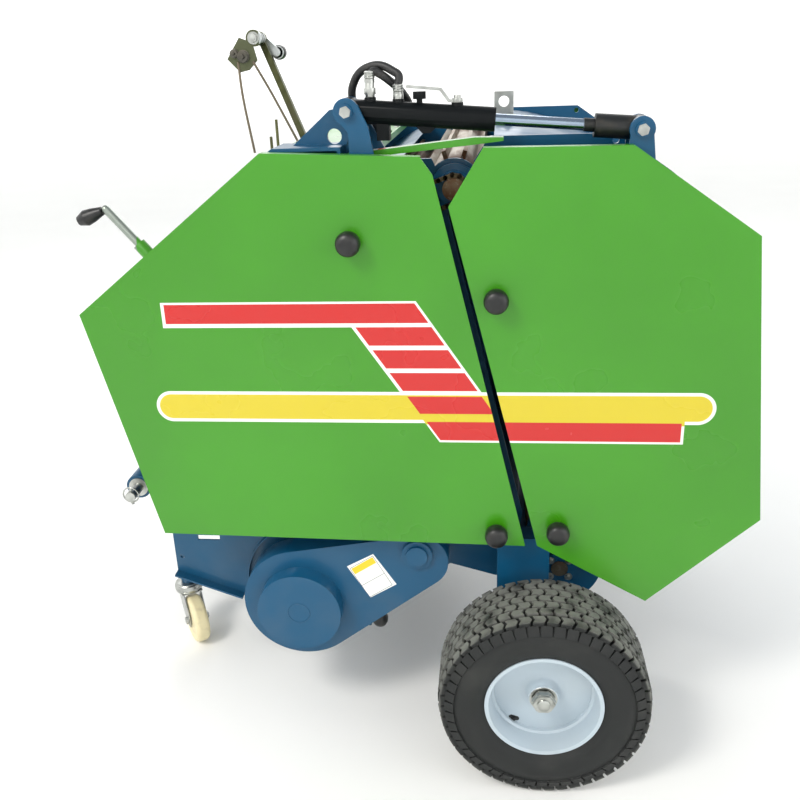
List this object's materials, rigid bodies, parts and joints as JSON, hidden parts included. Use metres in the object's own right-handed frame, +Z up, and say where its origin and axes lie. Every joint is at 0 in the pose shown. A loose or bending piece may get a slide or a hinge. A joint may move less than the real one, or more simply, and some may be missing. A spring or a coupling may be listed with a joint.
{
  "type": "mini round baler",
  "caption": "Tractor-mounted mini round baler with a roller chamber, a hinged tailgate lifted by a hydraulic cylinder, a tined pickup, side panels, castors and turf-tyred wheels.",
  "frame": {"origin": "on the ground, at the middle of the machine's length and width", "axes": "+X forward to the tractor, +Y to the machine's left, +Z up"},
  "size_m": [1.3058, 1.37, 1.432],
  "materials": {
    "green_paint": "glossy green enamel with red and yellow stripes",
    "blue_paint": "glossy blue enamel",
    "tyre_rubber": "dark rubber with a turf tread",
    "rim_white": "white enamel",
    "castor_nylon": "cream nylon",
    "zinc": "zinc-plated steel",
    "olive_zinc": "yellow-passivated steel",
    "roller_steel": "bare rolled steel with light rust",
    "tine_steel": "spring steel",
    "cast_grey": "grey cast iron",
    "cylinder_black": "black enamel",
    "chrome": "hard chrome rod",
    "chain_steel": "oiled roller chain",
    "hose_black": "black hydraulic hose",
    "grip_black": "black plastic"
  },
  "bodies": {
    "chassis": {"chamber_walls": "blue_paint", "front_cover": "blue_paint", "front_tubes": "blue_paint", "feed_floor": "blue_paint", "axle": "blue_paint", "front_panels": "green_paint", "cylinder_bracket": "blue_paint", "hitch_frame": "blue_paint", "hitch_pins": "zinc", "gearbox": "cast_grey", "shaft_guard": "blue_paint", "twine_box": "blue_paint", "twine_post": "olive_zinc", "crank_handle": "zinc", "crank_grip": "grip_black", "roller_chain": "chain_steel", "safety_strut": "green_paint", "top_cover": "green_paint", "twine_guides": "olive_zinc", "twine_head": "olive_zinc"},
    "tailgate": {"gate_walls": "blue_paint", "gate_cover": "blue_paint", "gate_panels": "green_paint", "gate_ears": "blue_paint", "lifting_lug": "zinc"},
    "pickup": {"pickup_sides": "blue_paint", "pickup_bands": "blue_paint", "pickup_drive_cover": "blue_paint"},
    "pickup_reel": {"pickup_reel": "tine_steel"},
    "pto_shaft": {"pto_shaft": "zinc"},
    "roller_01": {"roller_01": "roller_steel"},
    "roller_02": {"roller_02": "roller_steel"},
    "roller_03": {"roller_03": "roller_steel"},
    "roller_04": {"roller_04": "roller_steel"},
    "roller_05": {"roller_05": "roller_steel"},
    "roller_06": {"roller_06": "roller_steel"},
    "roller_07": {"roller_07": "roller_steel"},
    "roller_08": {"roller_08": "roller_steel"},
    "roller_09": {"roller_09": "roller_steel"},
    "roller_10": {"roller_10": "roller_steel"},
    "roller_11": {"roller_11": "roller_steel"},
    "wheel_left": {"tyre_left": "tyre_rubber", "rim_left": "rim_white"},
    "castor_left": {"castor_fork_left": "zinc"},
    "castor_wheel_left": {"castor_wheel_left": "castor_nylon"},
    "wheel_right": {"tyre_right": "tyre_rubber", "rim_right": "rim_white"},
    "castor_right": {"castor_fork_right": "zinc"},
    "castor_wheel_right": {"castor_wheel_right": "castor_nylon"},
    "cylinder_barrel": {"cylinder_barrel": "cylinder_black", "cylinder_hoses": "hose_black", "hose_fittings": "zinc", "shutoff_tap": "zinc"},
    "cylinder_rod": {"cylinder_rod": "chrome"}
  },
  "joints": [
    {"name": "tailgate_hinge", "type": "hinge", "parent": "chassis", "child": "tailgate", "pos_m": [-0.07863, 0, 1.14976], "axis": [0, 1, 0], "range_deg": [0, 45]},
    {"name": "pickup_lift", "type": "hinge", "parent": "chassis", "child": "pickup", "pos_m": [0.012, 0, 0.425], "axis": [0, -1, 0], "range_deg": [0, 7]},
    {"name": "reel_spin", "type": "hinge", "parent": "pickup", "child": "pickup_reel", "pos_m": [0.25, 0, 0.3], "axis": [0, 1, 0], "continuous": true},
    {"name": "roller_01_spin", "type": "hinge", "parent": "chassis", "child": "roller_01", "pos_m": [-0.07863, 0, 1.14976], "axis": [0, 1, 0], "continuous": true},
    {"name": "roller_02_spin", "type": "hinge", "parent": "chassis", "child": "roller_02", "pos_m": [0.0555, 0, 1.10094], "axis": [0, 1, 0], "continuous": true},
    {"name": "roller_03_spin", "type": "hinge", "parent": "chassis", "child": "roller_03", "pos_m": [0.19073, 0, 0.97483], "axis": [0, 1, 0], "continuous": true},
    {"name": "roller_04_spin", "type": "hinge", "parent": "chassis", "child": "roller_04", "pos_m": [0.257, 0, 0.8022], "axis": [0, 1, 0], "continuous": true},
    {"name": "roller_05_spin", "type": "hinge", "parent": "chassis", "child": "roller_05", "pos_m": [0.24088, 0, 0.61799], "axis": [0, 1, 0], "continuous": true},
    {"name": "roller_06_spin", "type": "hinge", "parent": "tailgate", "child": "roller_06", "pos_m": [-0.29057, 0, 1.13121], "axis": [0, 1, 0], "continuous": true},
    {"name": "roller_07_spin", "type": "hinge", "parent": "tailgate", "child": "roller_07", "pos_m": [-0.45543, 0, 1.02001], "axis": [0, 1, 0], "continuous": true},
    {"name": "roller_08_spin", "type": "hinge", "parent": "tailgate", "child": "roller_08", "pos_m": [-0.54879, 0, 0.84443], "axis": [0, 1, 0], "continuous": true},
    {"name": "roller_09_spin", "type": "hinge", "parent": "tailgate", "child": "roller_09", "pos_m": [-0.54879, 0, 0.64557], "axis": [0, 1, 0], "continuous": true},
    {"name": "roller_10_spin", "type": "hinge", "parent": "tailgate", "child": "roller_10", "pos_m": [-0.45543, 0, 0.46999], "axis": [0, 1, 0], "continuous": true},
    {"name": "roller_11_spin", "type": "hinge", "parent": "tailgate", "child": "roller_11", "pos_m": [-0.29057, 0, 0.35879], "axis": [0, 1, 0], "continuous": true},
    {"name": "pto_spin", "type": "hinge", "parent": "chassis", "child": "pto_shaft", "pos_m": [0.57, 0, 0.705], "axis": [1, 0, 0], "continuous": true},
    {"name": "wheel_left_spin", "type": "hinge", "parent": "chassis", "child": "wheel_left", "pos_m": [-0.25, 0.605, 0.205], "axis": [0, 1, 0], "continuous": true},
    {"name": "castor_left_swivel", "type": "hinge", "parent": "chassis", "child": "castor_left", "pos_m": [0.619, 0.187, 0.06], "axis": [0, 0, 1], "continuous": true},
    {"name": "castor_left_roll", "type": "hinge", "parent": "castor_left", "child": "castor_wheel_left", "pos_m": [0.59606, 0.21977, 0.06], "axis": [0.8192, 0.5736, 0], "continuous": true},
    {"name": "wheel_right_spin", "type": "hinge", "parent": "chassis", "child": "wheel_right", "pos_m": [-0.25, -0.605, 0.205], "axis": [0, 1, 0], "continuous": true},
    {"name": "castor_right_swivel", "type": "hinge", "parent": "chassis", "child": "castor_right", "pos_m": [0.619, -0.187, 0.06], "axis": [0, 0, 1], "continuous": true},
    {"name": "castor_right_roll", "type": "hinge", "parent": "castor_right", "child": "castor_wheel_right", "pos_m": [0.59606, -0.21977, 0.06], "axis": [-0.8192, 0.5736, 0], "continuous": true},
    {"name": "barrel_tilt", "type": "hinge", "parent": "chassis", "child": "cylinder_barrel", "pos_m": [0.099, 0.467, 1.289], "axis": [0, 1, 0], "range_deg": [0, 29.54]},
    {"name": "rod_slide", "type": "slide", "parent": "cylinder_barrel", "child": "cylinder_rod", "axis": [-0.9965, 0, -0.083], "range_m": [-0.12975, 0]}
  ],
  "couplings": [
    {"joint": "roller_02_spin", "follows": "roller_01_spin", "ratio": 1},
    {"joint": "roller_03_spin", "follows": "roller_01_spin", "ratio": 1},
    {"joint": "roller_04_spin", "follows": "roller_01_spin", "ratio": 1},
    {"joint": "roller_05_spin", "follows": "roller_01_spin", "ratio": 1},
    {"joint": "roller_06_spin", "follows": "roller_01_spin", "ratio": 1},
    {"joint": "roller_07_spin", "follows": "roller_01_spin", "ratio": 1},
    {"joint": "roller_08_spin", "follows": "roller_01_spin", "ratio": 1},
    {"joint": "roller_09_spin", "follows": "roller_01_spin", "ratio": 1},
    {"joint": "roller_10_spin", "follows": "roller_01_spin", "ratio": 1},
    {"joint": "roller_11_spin", "follows": "roller_01_spin", "ratio": 1},
    {"joint": "pto_spin", "follows": "roller_01_spin", "ratio": -3},
    {"joint": "reel_spin", "follows": "roller_01_spin", "ratio": 0.6},
    {"joint": "barrel_tilt", "follows": "tailgate_hinge", "ratio": 0.65642},
    {"joint": "rod_slide", "follows": "tailgate_hinge", "m_per_rad": -0.1652}
  ]
}
